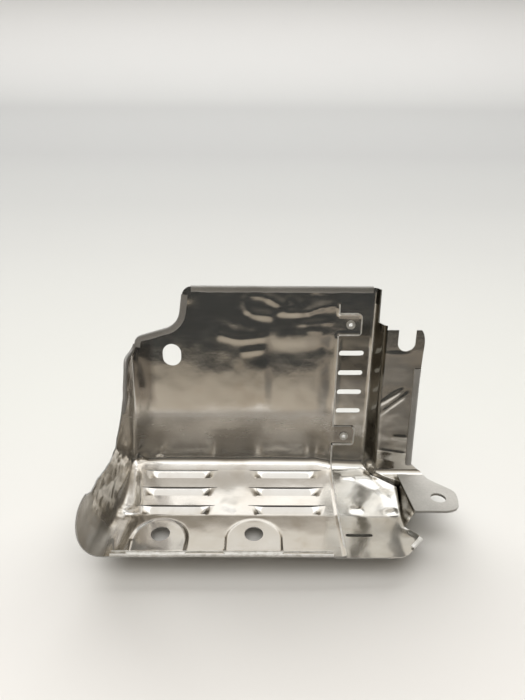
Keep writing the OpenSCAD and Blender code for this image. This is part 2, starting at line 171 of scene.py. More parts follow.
def deselect():
    if bpy.context.object and bpy.context.object.mode != "OBJECT":
        bpy.ops.object.mode_set(mode="OBJECT")
    bpy.ops.object.select_all(action="DESELECT")


# The paint runs from dark, far in front, to pale round the shield, and less pale towards the backdrop. That
# darkening behind the shield is painted shade: it offsets the window lamp's stronger light there, so the table
# reads evenly pale.
PAINT_START, PAINT_LENGTH = -0.99, 3.0
table_paint, tree = new_material("table_paint")
spot = object_place(tree)
cloud = grain(tree, spot, 5.0, 2.0)
east, north, up = axes(tree, spot)
along_table = (north + cloud * 0.02 - PAINT_START) / PAINT_LENGTH
# Painted shade: these pale stops darken towards the back to offset the window lamp's light.
pale_paint_with_painted_shade = [
    (0.301, (0.82, 0.80, 0.77)), (0.318, (0.75, 0.735, 0.71)), (0.373, (0.635, 0.635, 0.605)),
    (0.467, (0.45, 0.45, 0.435)), (0.517, (0.37, 0.37, 0.36)), (0.60, (0.29, 0.29, 0.285)),
    (0.733, (0.26, 0.26, 0.255)), (0.90, (0.48, 0.475, 0.465))]
left_paint = ramp(tree, along_table, [
    (0.0, (0.40, 0.355, 0.29)), (0.287, (0.44, 0.39, 0.325))] + pale_paint_with_painted_shade)
right_paint = ramp(tree, along_table, [
    (0.04, (0.38, 0.33, 0.27)), (0.10, (0.12, 0.11, 0.10)), (0.292, (0.11, 0.105, 0.095))] + pale_paint_with_painted_shade)
paint = mixed(tree, rising(east, 0.12, 8.0), left_paint, right_paint)
finish_material(tree, Base_Color=paint, Roughness=0.6)

TABLE_W, TABLE_D = 9, 3.7
SWEEP_R, SWEEP_STEPS = 0.8, 12
deselect()
bpy.ops.mesh.primitive_plane_add(size=1, location=(0.05, -0.65, cad_low.z))
table = bpy.context.object
table.name = "table"
table.scale = (TABLE_W, TABLE_D, 1)
bpy.ops.object.transform_apply(location=True, scale=True)
bpy.ops.object.mode_set(mode="EDIT")
bpy.ops.mesh.select_mode(type="EDGE")
bpy.ops.mesh.select_all(action="DESELECT")
bpy.ops.object.mode_set(mode="OBJECT")
for edge in table.data.edges:
    edge.select = all(table.data.vertices[i].co.y > 0 for i in edge.vertices)
bpy.ops.object.mode_set(mode="EDIT")
for k in range(SWEEP_STEPS):
    turn = math.radians(90) * (k + 0.5) / SWEEP_STEPS
    step = Vector((0, math.cos(turn), math.sin(turn))) * SWEEP_R * math.radians(90) / SWEEP_STEPS
    bpy.ops.mesh.extrude_region_move(TRANSFORM_OT_translate={"value": step, "orient_type": "GLOBAL"})
bpy.ops.mesh.extrude_region_move(TRANSFORM_OT_translate={"value": (0, 0, 2.6), "orient_type": "GLOBAL"})
bpy.ops.object.mode_set(mode="OBJECT")
bpy.ops.object.shade_smooth()
table.data.materials.append(table_paint)

world = bpy.data.worlds.new("studio_room")
bpy.context.scene.world = world
world.use_nodes = True
tree = world.node_tree
tree.nodes.clear()
direction = nodes(tree, "ShaderNodeTexCoord")[0]
east, north, up = axes(tree, direction)
room = ramp(tree, up, [
    (0.0, (0.038, 0.040, 0.040)), (0.17, (0.05, 0.05, 0.047)), (0.32, (0.14, 0.128, 0.11)),
    (0.60, (0.25, 0.225, 0.19)), (0.70, (0.40, 0.36, 0.30)), (0.81, (0.94, 0.89, 0.80)),
    (0.90, (1.0, 0.975, 0.93)), (1.0, (1.0, 0.99, 0.97))])
room = mixed(tree, rising(north, -0.0625, 1.6), room, (0.90, 0.90, 0.89, 1))
background = nodes(tree, "ShaderNodeBackground", None, {"Color": room, "Strength": 1.0})[0]
nodes(tree, "ShaderNodeOutputWorld", None, {"Surface": background})


def area_light(name, location, tilt, width, depth, energy):
    bpy.ops.object.light_add(type="AREA", location=location, rotation=(math.radians(tilt), 0, 0))
    lamp = bpy.context.object
    lamp.name = name
    lamp.data.shape = "RECTANGLE"
    lamp.data.size, lamp.data.size_y = width, depth
    lamp.data.energy = energy
    return lamp


area_light("overhead_light", (0.06, 0.55, 1.9), 0, 2.8, 1.5, 8.2)
window = area_light("window_light", (0.0, 1.45, 0.95), -60, 3.0, 0.9, 55)
window.visible_glossy = False

# Trough. One sheet of thin bright-rolled steel, pressed into a leaning back wall, a louvred floor and a
# flared left side, with two screw pads sunk into its front. The back is matt. It stands on its louvres.
SHEET, LAPPED = 0.8, 0.85
LEAN, WALL_H = math.radians(17), 122
FRONT_RISE, LIP_RISE = math.radians(13), 1.35
FLOOR_D, LIP_Y, RIM_Y = 40, -66.5, -72
RIM_Z = (-LIP_Y - FLOOR_D) * math.tan(FRONT_RISE)
FLOOR_LEFT, RIM_LEFT, CREASE_LEFT, CREASE_TOP = 87, 84, 81.5, 76
SEAM_X, BAND_RIGHT, BAND_H = 46.3, 65.5, 111
LUGS, LUG_W, LUG_R = (22, 98.2), 14, 2.5

# A place on the trough is x and c: c is the height up the wall, or minus the way in front of its foot.
SIDE_LINE = [(RIM_Y, RIM_Z + LIP_RISE), (LIP_Y, RIM_Z), (-FLOOR_D, 0), (0, 0),
             (math.sin(LEAN) * WALL_H, math.cos(LEAN) * WALL_H)]
SIDE_PLACES = [RIM_Y, LIP_Y, -FLOOR_D, 0, WALL_H]
SIDE_BENDS = [(LIP_Y, 4), (-FLOOR_D, 4), (0, 6)]


def turned(vector, angle):
    return np.array([vector[0] * math.cos(angle) - vector[1] * math.sin(angle),
                     vector[0] * math.sin(angle) + vector[1] * math.cos(angle)])


def swing_between(before, after):
    return math.atan2(before[0] * after[1] - before[1] * after[0], before @ after)


def bent_line(line, radii, off=0.0, steps=6):
    """Points along a line with rounded corners, at an offset to its left."""
    line = [np.array(point, dtype=float) for point in line]
    points = []
    for i, corner in enumerate(line):
        before = line[i] - line[i - 1] if i else line[1] - line[0]
        after = line[i + 1] - line[i] if i < len(line) - 1 else before
        before, after = before / np.linalg.norm(before), after / np.linalg.norm(after)
        swing = swing_between(before, after)
        side = np.array([-before[1], before[0]])
        if not radii[i]:
            points.append(corner + side * off)
            continue
        radius = math.copysign(radii[i], swing)
        centre = corner - before * radii[i] * math.tan(abs(swing) / 2) + side * radius
        points += [centre + turned(side, swing * k / steps) * (off - radius) for k in range(steps + 1)]
    return points


def side_frames():
    """Each straight of the side line: where it starts and ends along c and in space, and its direction."""
    frames = []
    for i in range(len(SIDE_LINE) - 1):
        start, end = np.array(SIDE_LINE[i]), np.array(SIDE_LINE[i + 1])
        along = (end - start) / np.linalg.norm(end - start)
        frames.append((SIDE_PLACES[i], SIDE_PLACES[i + 1], start, end, along))
    return frames


SIDE_FRAMES = side_frames()


def side_point(c):
    """Y, Z and normal of the trough's upper face at c."""
    for (place_c, radius), first, second in zip(SIDE_BENDS, SIDE_FRAMES, SIDE_FRAMES[1:]):
        before, after = first[4], second[4]
        swing = swing_between(before, after)
        lead = radius * math.tan(abs(swing) / 2)
        start, end = place_c - lead * before[0], place_c + lead * (after[0] if place_c < 0 else 1)
        if start < c < end:
            side = np.array([-before[1], before[0]])
            radius = math.copysign(radius, swing)
            centre = first[3] - before * lead + side * radius
            normal = turned(side, swing * (c - start) / (end - start))
            return centre - normal * radius, normal
    for low, high, start, end, along in SIDE_FRAMES:
        if c <= high or high == WALL_H:
            return start + (end - start) * (c - low) / (high - low), np.array([-along[1], along[0]])


def ease(value, low, high):
    t = np.clip((np.asarray(value, dtype=float) - low) / (high - low), 0, 1)
    return t * t * (3 - 2 * t)


def spaced(start, end, step):
    return list(np.linspace(start, end, max(1, round(abs(end - start) / step)) + 1)[:-1])


# Rows run from the rim to the wall's top, with a close pair on each side of a louvre's slit.
SLITS, SLIT_GAP = [-32.6, -18.6, -4.6], 0.35
ROW_STEP, WALL_STEP, FOOT_TOP = 0.72, 1.35, 8
rows = spaced(RIM_Y, -FLOOR_D, 0.75)
behind = -FLOOR_D
for slit in SLITS:
    rows += spaced(behind, slit - SLIT_GAP, ROW_STEP) + [slit - SLIT_GAP]
    behind = slit
rows += spaced(behind, FOOT_TOP, ROW_STEP) + spaced(FOOT_TOP, WALL_H, WALL_STEP) + [WALL_H]
rows = np.array(rows)
for exact in [BAND_H] + [lug + side * LUG_W / 2 for lug in LUGS for side in (-1, 1)]:
    rows[np.argmin(np.abs(rows - exact))] = exact

# The flare's section at each station: its reach from crease to edge and its bulge, as shares of the ear's.
FLARE_TOP, EAR_H, EAR_BULGE = 85.1, 47, 25
FLARE = [(FLARE_TOP, (-0.03, -0.06, 0.06), 0), (69.9, (-0.03, -0.19, 0.19), 0.02),
         (50.2, (-0.01, -0.38, 0.21), 0.03), (22, (-0.05, -0.43, 0.38), 0.06),
         (-4, (-0.11, -0.47, 0.62), 0.12), (-30, (-0.17, -0.34, 0.74), 0.28),
         (-56.5, (-0.16, -0.11, 0.89), 0.64), (RIM_Y, (-0.11, 0.08, 1), 1)]
flare_places = [station[0] for station in FLARE][::-1]
flare_reach = np.array([station[1] for station in FLARE])[::-1] * EAR_H
flare_bulge = np.array([station[2] for station in FLARE])[::-1] * EAR_BULGE


def smooth_through(place_c, places, values):
    """A smooth curve through values that stand at unevenly spaced places."""
    i = int(np.clip(np.searchsorted(places, place_c) - 1, 0, len(places) - 2))
    t = np.clip((place_c - places[i]) / (places[i + 1] - places[i]), 0, 1)
    a, b, c, d = (values[int(np.clip(i + k, 0, len(places) - 1))] for k in (-1, 0, 1, 2))
    return 0.5 * (2 * b + (c - a) * t + (2 * a - 5 * b + 4 * c - d) * t ** 2
                  + (3 * b - a - 3 * c + d) * t ** 3)


def left_edge(c):
    """X of the crease between flare and trough."""
    if c <= 0:
        return -FLOOR_LEFT + (FLOOR_LEFT - RIM_LEFT) * c / RIM_Y
    return (-FLOOR_LEFT + (FLOOR_LEFT - CREASE_LEFT) * min(c / CREASE_TOP, 1)
            + 0.214 * max(c - CREASE_TOP, 0))


def flare_points(c, foot, shares):
    """A cubic from the crease to the flare's edge, squarer at the ear and short at the top."""
    at = min(c, FLARE_TOP)
    reach = smooth_through(at, flare_places, flare_reach) * (0.1 + 0.9 * float(ease(FLARE_TOP - at, 0, 13)))
    bulge = smooth_through(at, flare_places, flare_bulge)
    spread = (1 - bulge / EAR_BULGE) / 3
    square = float(ease(-c, 44, 62))
    low = foot + reach * spread + bulge * np.array([-0.84 - 0.08 * square, 0, -0.2 - 0.02 * square])
    high = foot + reach * (1 - spread) + bulge * np.array([-0.52 + 0.08 * square, 0, -0.56 - 0.11 * square])
    return [(1 - u) ** 3 * foot + 3 * u * (1 - u) ** 2 * low + 3 * u ** 2 * (1 - u) * high
            + u ** 3 * (foot + reach) for u in shares]


COLUMN_STEP = 0.8
crease_column = 30
columns_left = np.linspace(0, 1, crease_column + 1)[:-1]
columns_main = np.array(spaced(0, 1, 1 / 165) + [1.0])
lug_right = SEAM_X + LUG_W
columns_band = np.array(spaced(SEAM_X, lug_right, COLUMN_STEP)[1:]
                        + spaced(lug_right, BAND_RIGHT, COLUMN_STEP) + [BAND_RIGHT])
seam_column = crease_column + len(columns_main) - 1
column_count = crease_column + len(columns_main) + len(columns_band)
shell = np.zeros((len(rows), column_count, 3))
for r, c in enumerate(rows):
    (y, z), _ = side_point(c)
    left = left_edge(c)
    xs = np.concatenate([left + (SEAM_X - left) * columns_main, columns_band])
    shell[r, crease_column:] = np.stack([xs, np.full(len(xs), y), np.full(len(xs), z)], axis=1)
    shell[r, :crease_column] = flare_points(c, np.array([left, y, z]), 1 - columns_left)
shell_x = shell[:, :, 0].copy()
grid_c = np.repeat(rows[:, None], column_count, axis=1)


def foot_back(c, x):
    """How far the foot of the wall is set back, left of the seam more than at it."""
    return (ease(c, -3.5, 0) - ease(c, 6, 40)) * (2.6 - 2.0 * ease(x, 34, 47))


def face_normals(points):
    along = np.gradient(points, axis=0)
    sideways = np.gradient(points, axis=1)
    normals = np.cross(sideways, along)
    return normals / np.maximum(np.linalg.norm(normals, axis=2, keepdims=True), 1e-9)


shell[:, :, 1] += foot_back(rows[:, None], shell_x)

# The crease between the flare and the trough is a bend, tight at the floor and softer up the wall.
for reach, rounds, start in ((4, 10, -80), (10, 30, 24)):
    share = ease(rows, start, start + 30)[:, None, None]
    for _ in range(rounds):
        near = shell[:, crease_column - reach:crease_column + reach + 1].copy()
        smoothed = near[:, 1:-1] * 0.5 + (near[:, :-2] + near[:, 2:]) * 0.25
        near[:, 1:-1] += (smoothed - near[:, 1:-1]) * share
        shell[:, crease_column - reach:crease_column + reach + 1] = near

PAD_MIDDLES, PAD_R, PAD_RISE = (-59.7, -5.2), 16.4, math.radians(9.5)
PAD_TOP_Y, PAD_TOP_Z = -43, 3 * math.tan(FRONT_RISE)
PAD_HOLE_R, PAD_HOLE_D = 5.5, 11.5
LOUVRE_MIDDLES, LOUVRE_HALF = (-53.5, 15.2), 24
SCOOP_W, SCOOP_DEPTH, SLIT_DROP = 6.4, 4.2, 1.2


def floor_height(c):
    rising_part = np.where(c < -FLOOR_D, (-FLOOR_D - c) * math.tan(FRONT_RISE), 0)
    return np.where(c < LIP_Y, RIM_Z + LIP_RISE * (LIP_Y - c) / (LIP_Y - RIM_Y), rising_part)


def scoop_depth(x, c, middle, slit):
    """A louvre: the sheet in front of a slit is drawn down, deepest away from it, with sloping ends."""
    front = slit - c
    inside = (front > SLIT_GAP / 2) & (front < SCOOP_W + 0.7)
    half = LOUVRE_HALF - 0.55 * front
    ends = ease(half - np.abs(x - middle), -0.4, 10.0 - 0.5 * front)
    deepening = np.clip(front / 5.6, 0, 1) ** 1.2
    depth = (SLIT_DROP + (SCOOP_DEPTH - SLIT_DROP) * deepening) * (front < SCOOP_W)
    return np.where(inside, depth * ends, 0)


def pad_depth(x, c, middle):
    """A pad: a half-round seat, sunk into the rising floor by its own smaller rise."""
    round_c = PAD_TOP_Y - PAD_R
    from_edge = np.where(c > round_c, PAD_R - np.hypot(x - middle, c - round_c), PAD_R - np.abs(x - middle))
    depth = np.minimum(floor_height(c), RIM_Z) - PAD_TOP_Z + (c - PAD_TOP_Y) * math.tan(PAD_RISE)
    depth = (np.maximum(depth, 0.12) + 0.2) * (1 - 0.85 * ease(-c, 67, 71.5))
    return depth * ease(from_edge, -0.5, 1.1) * (c < -FLOOR_D)


def pressed_floor(x, c):
    depths = [scoop_depth(x, c, middle, slit) for middle in LOUVRE_MIDDLES for slit in SLITS]
    depths += [pad_depth(x, c, middle) for middle in PAD_MIDDLES]
    return np.maximum(np.max(depths, axis=0), 0)


def ripple(points, size, seed):
    offset = Vector((seed * 17.3, seed * 5.1, seed * 9.7))
    flat = points.reshape(-1, 3) / size
    return np.array([noise.noise(Vector(point) + offset) for point in flat]).reshape(points.shape[:2])


def crumple(points, size, seed):
    """Facets with sharp folds between them, as in thin sheet that has been pushed together."""
    offset = Vector((seed * 11.7, seed * 3.3, seed * 7.9))
    flat = points.reshape(-1, 3) / size
    facets = np.array([noise.voronoi(Vector(point) + offset)[0][0] for point in flat])
    return facets.reshape(points.shape[:2]) - 0.4


def folds(x, c, folded, widen=1.0, lift=1.0):
    """Relief of short straight folds, each from one place to another, with its width and height."""
    relief = np.zeros_like(x)
    for (x0, c0), (x1, c1), width, rise in folded:
        length = math.hypot(x1 - x0, c1 - c0)
        along = ((x - x0) * (x1 - x0) + (c - c0) * (c1 - c0)) / length
        away = (-(x - x0) * (c1 - c0) + (c - c0) * (x1 - x0)) / length
        fade = ease(along, -0.15 * length, 0.2 * length) * (1 - ease(along, 0.8 * length, 1.15 * length))
        relief += np.exp(-(away / (width * widen)) ** 2) * fade * rise * lift
    return relief


WALL_FOLDS = [
    ((-12, 116), (-9, 105), 2.2, 0.7), ((-11, 117), (3, 116), 2.0, 0.6), ((-9, 105), (6, 104), 2.2, 0.7),
    ((2, 116), (14, 109), 2.4, 0.8), ((8, 106), (27, 106), 1.8, 0.8), ((26, 106), (36, 110), 1.8, 0.8),
    ((14, 116), (24, 110), 2.6, 0.5), ((35, 110), (46, 110), 2.0, 0.5), ((28, 116), (40, 113), 2.6, -0.5),
    ((-28, 92), (-15, 88.5), 1.9, 0.6), ((-15, 88.5), (2, 90.5), 1.9, 0.6), ((-30, 104), (-3, 96), 3.0, 0.35),
    ((-14, 80.5), (0, 82), 1.6, 0.5), ((20, 99), (42, 100), 1.5, 0.45), ((26, 95), (36, 95), 1.5, 0.3),
    ((6, 89), (44, 90), 3.6, 0.3), ((-48, 112), (-42, 96), 5, -0.5), ((36, 84), (40, 50), 2.5, 0.45),
    ((0, 74), (-2, 44), 3.0, 0.5), ((-38, 27), (-14, 26.5), 1.4, 0.25),
    ((-78, 3), (-66, 8), 3.0, 0.9), ((-28, 5), (-10, 6), 4.0, 0.4)]
FLOOR_FOLDS = [
    ((-84, -4), (-79, -34), 2.6, -0.8), ((-79, -41), (-82, -68), 3.0, -0.6),
    ((-26, -31), (-16, -35), 3.6, 0.22), ((-26, -6), (-14, -28), 6.0, -0.15)]


def wall_relief(x, c):
    """The folds, a shallow bow over the middle of the wall and a hollow to the right of it."""
    off = folds(x, c, WALL_FOLDS, widen=1.25, lift=0.52)
    off += 1.1 * (ease(c, 16, 46) - ease(c, 54, 118)) * ease(x, -84, -68) * (1 - ease(x, 34, 45))
    off -= 0.7 * ease(x, 0, 7) * (1 - ease(x, 40, 46)) * ease(c, 20, 45) * (1 - ease(c, 80, 95))
    return off * (c > 0)


from_crease = shell_x[:, crease_column:] - shell_x[:, crease_column:crease_column + 1]
main_part = np.zeros_like(shell_x)
main_part[:, crease_column:] = ease(from_crease, 0, 3)
relief = (wall_relief(shell_x, grid_c) + folds(shell_x, grid_c, FLOOR_FOLDS) * (grid_c <= 0)) * main_part
calm = 1 - 0.6 * ease(grid_c, -42, -36) * (1 - ease(grid_c, -6, 4))
relief += (0.22 * ripple(shell, 26, 1) + 0.10 * ripple(shell, 9, 2)) * main_part * calm
upper_zone = ease(grid_c, 80, 95) * (1 - ease(shell_x, 40, 46)) * ease(shell_x, -30, -10)
relief += 0.25 * crumple(shell, 13, 3) * upper_zone * main_part * (1 - ease(grid_c, 112, 118))

# The flare's lower half is gathered into creases, and its ear at the front is smooth.
up_flare = np.zeros_like(shell_x)
up_flare[:, :crease_column] = (1 - columns_left)[None, :]
gathered = ease(up_flare, 0.08, 0.3) * ease(grid_c, -66, -48) * (1 - ease(grid_c, 8, 30))
gathered *= 1 - 0.75 * ease(up_flare, 0.75, 1.0) * (1 - ease(grid_c, -40, -20))
long_creases = crumple(shell * np.array([1.9, 0.35, 0.45]), 9, 5)
short_creases = crumple(shell * np.array([1.5, 0.6, 0.8]), 4.5, 6)
relief += gathered * (1.9 * long_creases + 0.75 * short_creases)
light_creases = ease(up_flare, 0.1, 0.4) * (1 - gathered) * ease(grid_c, -60, -45)
relief += light_creases * 0.5 * ripple(shell, 9, 7)
puckers = np.exp(-((grid_c - 2) / 6) ** 2) + np.exp(-((grid_c + 38) / 4) ** 2)
relief += np.exp(-((shell_x + 84) / 5) ** 2) * puckers * 1.1 * crumple(shell, 3.5, 8)
relief -= pressed_floor(shell_x, grid_c) * (grid_c < 0)


def inside_lug(x, c, lug):
    """How far a place lies inside a lug's rounded outline."""
    past_c = np.maximum(np.abs(c - lug) - (LUG_W / 2 - LUG_R), 0)
    past_x = np.maximum(x - (lug_right - LUG_R), 0)
    return LUG_R - np.hypot(past_c, past_x)


# The sheet's edge stands up in a small lip along the seam and round the two lugs.
seam_lip = ease(shell_x, SEAM_X - 2.2, SEAM_X) * (shell_x <= SEAM_X + 0.01) * (grid_c < BAND_H)
for lug in LUGS:
    seam_lip *= 1 - ease(LUG_W / 2 + 0.5 - np.abs(grid_c - lug), 0, 1.5)
    near_lug = np.abs(grid_c - lug) <= LUG_W / 2 + 0.01
    near_lug &= (shell_x > SEAM_X - 0.5) & (shell_x < lug_right + 0.01)
    relief += 0.4 * (1 - ease(inside_lug(shell_x, grid_c, lug), 0.2, 1.5)) * near_lug
relief += 0.75 * seam_lip
shell = shell + face_normals(shell) * relief[:, :, None]


def press_sheet(name, points, keep, painted_highlight_faces=None):
    """A flat grid is laid out and pressed to its shape, and the faces that are cut away are deleted."""
    high, wide = points.shape[0] - 1, points.shape[1] - 1
    deselect()
    bpy.ops.mesh.primitive_grid_add(x_subdivisions=wide, y_subdivisions=high, size=1, location=(0, 0, 0))
    sheet = bpy.context.object
    sheet.name = name
    mesh = sheet.data
    flat = np.empty(len(mesh.vertices) * 3)
    mesh.vertices.foreach_get("co", flat)
    flat = flat.reshape(-1, 3)
    column = np.rint((flat[:, 0] + 0.5) * wide).astype(int)
    row = np.rint((flat[:, 1] + 0.5) * high).astype(int)
    mesh.vertices.foreach_set("co", place(points[row, column]).ravel())
    mesh.update()
    bpy.ops.object.mode_set(mode="EDIT")
    bpy.ops.mesh.select_mode(type="FACE")
    bpy.ops.object.mode_set(mode="OBJECT")
    for face in mesh.polygons:
        corners = list(face.vertices)
        i, j = row[corners].min(), column[corners].min()
        face.select = not keep[i, j]
        # Marked faces get the third material, the pale painted highlight along the seam and round the lugs.
        face.material_index = 2 if painted_highlight_faces is not None and painted_highlight_faces[i, j] else 0
    bpy.ops.object.mode_set(mode="EDIT")
    bpy.ops.mesh.delete(type="FACE")
    bpy.ops.mesh.select_all(action="SELECT")
    bpy.ops.mesh.delete_loose()
    bpy.ops.object.mode_set(mode="OBJECT")
    return sheet


def make_active(piece):
    deselect()
    piece.select_set(True)
    bpy.context.view_layer.objects.active = piece


def apply_modifier(piece, kind, **settings):
    make_active(piece)
    modifier = piece.modifiers.new("step", kind)
    for key, value in settings.items():
        setattr(modifier, key, value)
    bpy.ops.object.modifier_apply(modifier=modifier.name)


def thicken(sheet, *materials):
    """Gives a sheet its thickness behind the pressed face. The second material goes on back and edges."""
    for material in materials:
        sheet.data.materials.append(material)
    apply_modifier(sheet, "SOLIDIFY", thickness=SHEET / 1000, offset=-1,
                   material_offset=1, material_offset_rim=1)


def block(outline, to_place):
    """A cutter or plate: a flat outline, filled and extruded between the two levels to_place gives it."""
    deselect()
    bpy.ops.mesh.primitive_circle_add(vertices=len(outline), radius=1, fill_type="NGON")
    made = bpy.context.object
    for vertex, point in zip(made.data.vertices, outline):
        vertex.co = place(to_place(point[0], point[1], 0))
    bpy.ops.object.mode_set(mode="EDIT")
    bpy.ops.mesh.select_all(action="SELECT")
    lift = place(to_place(0, 0, 1)) - place(to_place(0, 0, 0))
    bpy.ops.mesh.extrude_region_move(TRANSFORM_OT_translate={"value": Vector(lift), "orient_type": "GLOBAL"})
    bpy.ops.mesh.select_all(action="SELECT")
    bpy.ops.mesh.normals_make_consistent(inside=False)
    bpy.ops.object.mode_set(mode="OBJECT")
    return made


def punch(piece, outline, to_place):
    cutter = block(outline, to_place)
    apply_modifier(piece, "BOOLEAN", object=cutter, operation="DIFFERENCE", solver="MANIFOLD")
    bpy.data.objects.remove(cutter)


def on_wall(low, high):
    """Places on the back wall, given x and the height up it, between two levels in front of it."""
    def to_place(x, h, t):
        off = low + (high - low) * t
        return [x, h * math.sin(LEAN) - off * math.cos(LEAN), h * math.cos(LEAN) + off * math.sin(LEAN)]
    return to_place


def on_rise(middle, top_y, top_z, rise, low, high):
    """The same on a plane that rises towards the rim, given x and the way down it from its top."""
    def to_place(x, d, t):
        off = low + (high - low) * t
        return [middle + x, top_y - d * math.cos(rise) + off * math.sin(rise),
                top_z + d * math.sin(rise) + off * math.cos(rise)]
    return to_place


def upright(low, high):
    return lambda x, y, t: [x, y, low + (high - low) * t]


def round_hole(x, y, radius, count=40):
    return [(x + radius * math.cos(a), y + radius * math.sin(a))
            for a in np.linspace(0, 2 * math.pi, count + 1)[:-1]]


def long_hole(x, y, length, width):
    half = (length - width) / 2
    right = [(x + half + width / 2 * math.cos(a), y + width / 2 * math.sin(a))
             for a in np.linspace(-1.57, 1.57, 13)]
    return right + [(2 * x - px, 2 * y - py) for px, py in right]


middle_c = (grid_c[:-1, :-1] + grid_c[1:, 1:]) / 2
middle_x = (shell_x[:-1, :-1] + shell_x[1:, 1:]) / 2
column_index = np.repeat(np.arange(column_count - 1)[None, :], len(rows) - 1, axis=0)
on_lugs = np.zeros_like(middle_c, dtype=bool)
lug_edge = np.zeros_like(on_lugs)
for lug in LUGS:
    beside = np.abs(middle_c - lug) < LUG_W / 2
    on_lugs |= beside & (middle_x < lug_right)
    lug_edge |= beside & (middle_x > SEAM_X) & (inside_lug(middle_x, middle_c, lug) < 0.75) & on_lugs
keep = ~((column_index < crease_column) & (middle_c > FLARE_TOP))
keep &= (column_index < seam_column) | (middle_c > BAND_H) | on_lugs
for slit in SLITS:
    cut = (middle_c > slit - SLIT_GAP) & (middle_c < slit)
    for middle in LOUVRE_MIDDLES:
        keep &= ~(cut & (np.abs(middle_x - middle) < LOUVRE_HALF))
seam_edge = (column_index == seam_column - 1) & (middle_c > -66) & (middle_c < BAND_H) & ~on_lugs


def rolled_steel(name, tones):
    """The start of a bright-rolled sheet's material, with cloudy tones, fine streaks and stains."""
    made, tree = new_material(name)
    spot = object_place(tree)
    cloud = grain(tree, spot, 28.0, 4.0)
    streak = grain(tree, object_place(tree, (1, 9, 9)), 60.0, 5.0, 0.7)
    stain = grain(tree, spot, 95.0, 6.0, 0.65)
    colour = ramp(tree, cloud * 0.6 + stain * 0.4, list(zip((0.30, 0.45, 0.60, 0.8), tones)))
    height = cloud * 2.0 + stain * 0.45 + streak * 0.06
    bump = nodes(tree, "ShaderNodeBump", None, {"Strength": 0.2, "Distance": 0.0006, "Height": height})[0]
    return made, tree, axes(tree, spot), cloud, colour, streak * 0.10 + stain * 0.06, bump


def patch(*edges):
    """1 on a patch of the sheet. Each edge is a wire, the metres where it starts and its slope."""
    inside = rising(*edges[0])
    for edge in edges[1:]:
        inside = inside * rising(*edge)
    return inside


polished, tree, (east, north, up), cloud, colour, roughness, bump = rolled_steel("polished_sheet", [
    (0.70, 0.655, 0.59), (0.80, 0.775, 0.735), (0.84, 0.825, 0.795), (0.76, 0.725, 0.67)])
wavy = cloud * 0.006
# Painted reflections: the wall's foot, the lugs beside it, the wall's left edge, the flare and its heel are
# painted darker. The paint stands in for the darker reflections of the shadowed table and the dark room.
foot_painted_reflection = patch((north, 0.0585, 500.0), (up + wavy, 0.010, 120.0), (up + wavy, 0.0405, -260.0))
on_lug = foot_painted_reflection * patch((east, 0.1062, 800.0))
edge_painted_reflection = patch((east + wavy, -0.0040, -250.0), (east, -0.0225, 700.0), (up + wavy, 0.040, 120.0),
                (up, 0.082, -200.0))
flare_painted_reflection = patch((east, -0.0285, -500.0), (north, -0.004, 90.0), (north, 0.056, -150.0), (up, 0.050, -90.0))
heel_painted_reflection = patch((east, -0.0265, -400.0), (north, 0.004, -300.0), (up, 0.0085, -400.0))
on_ear = patch((east, -0.0285, -300.0), (north, 0.004, -200.0))
colour = mixed(tree, foot_painted_reflection * 0.38 + on_lug * 0.3 + edge_painted_reflection * 0.72, colour, (0.26, 0.235, 0.215, 1))
colour = mixed(tree, flare_painted_reflection * 0.62 + heel_painted_reflection * 0.6, colour, (0.25, 0.23, 0.19, 1))
roughness = roughness + flare_painted_reflection * 0.1 + heel_painted_reflection * 0.2 + on_ear * 0.30 + foot_painted_reflection * 0.12 + 0.06
finish_material(tree, Base_Color=colour, Metallic=1.0, Roughness=roughness, Normal=bump)


def matt_metal(name, dark, light, metallic):
    made, tree = new_material(name)
    spot = object_place(tree)
    cloud = grain(tree, spot, 40.0, 5.0)
    speck = grain(tree, spot, 900.0, 3.0)
    colour = ramp(tree, cloud * 0.7 + speck * 0.3, [(0.35, dark), (0.65, light)])
    height = cloud * 2.0 + speck * 0.3
    bump = nodes(tree, "ShaderNodeBump", None, {"Strength": 0.25, "Distance": 0.0003, "Height": height})[0]
    finish_material(tree, Base_Color=colour, Metallic=metallic, Roughness=cloud * 0.2 + 0.40, Normal=bump)
    return made


matt = matt_metal("matt_back", (0.37, 0.365, 0.35), (0.50, 0.49, 0.475), 0.7)
# Painted highlight: a pale, nearly non-metallic finish for the faces beside the seam and round the lugs, the
# fold under the rim and the curled tip. It stands in for the bright light their rounded edges catch.
painted_highlight, tree = new_material("painted_highlight_edge")
tone_noise = grain(tree, object_place(tree), 300.0, 3.0)
colour = ramp(tree, tone_noise, [(0.35, (0.72, 0.70, 0.65)), (0.6, (0.95, 0.94, 0.91))])
finish_material(tree, Base_Color=colour, Metallic=0.1, Roughness=tone_noise * 0.2 + 0.3)

# The faces along the seam and round the lugs get the painted highlight.
trough = press_sheet("trough_sheet", shell, keep, seam_edge | lug_edge)
thicken(trough, polished, matt, painted_highlight)

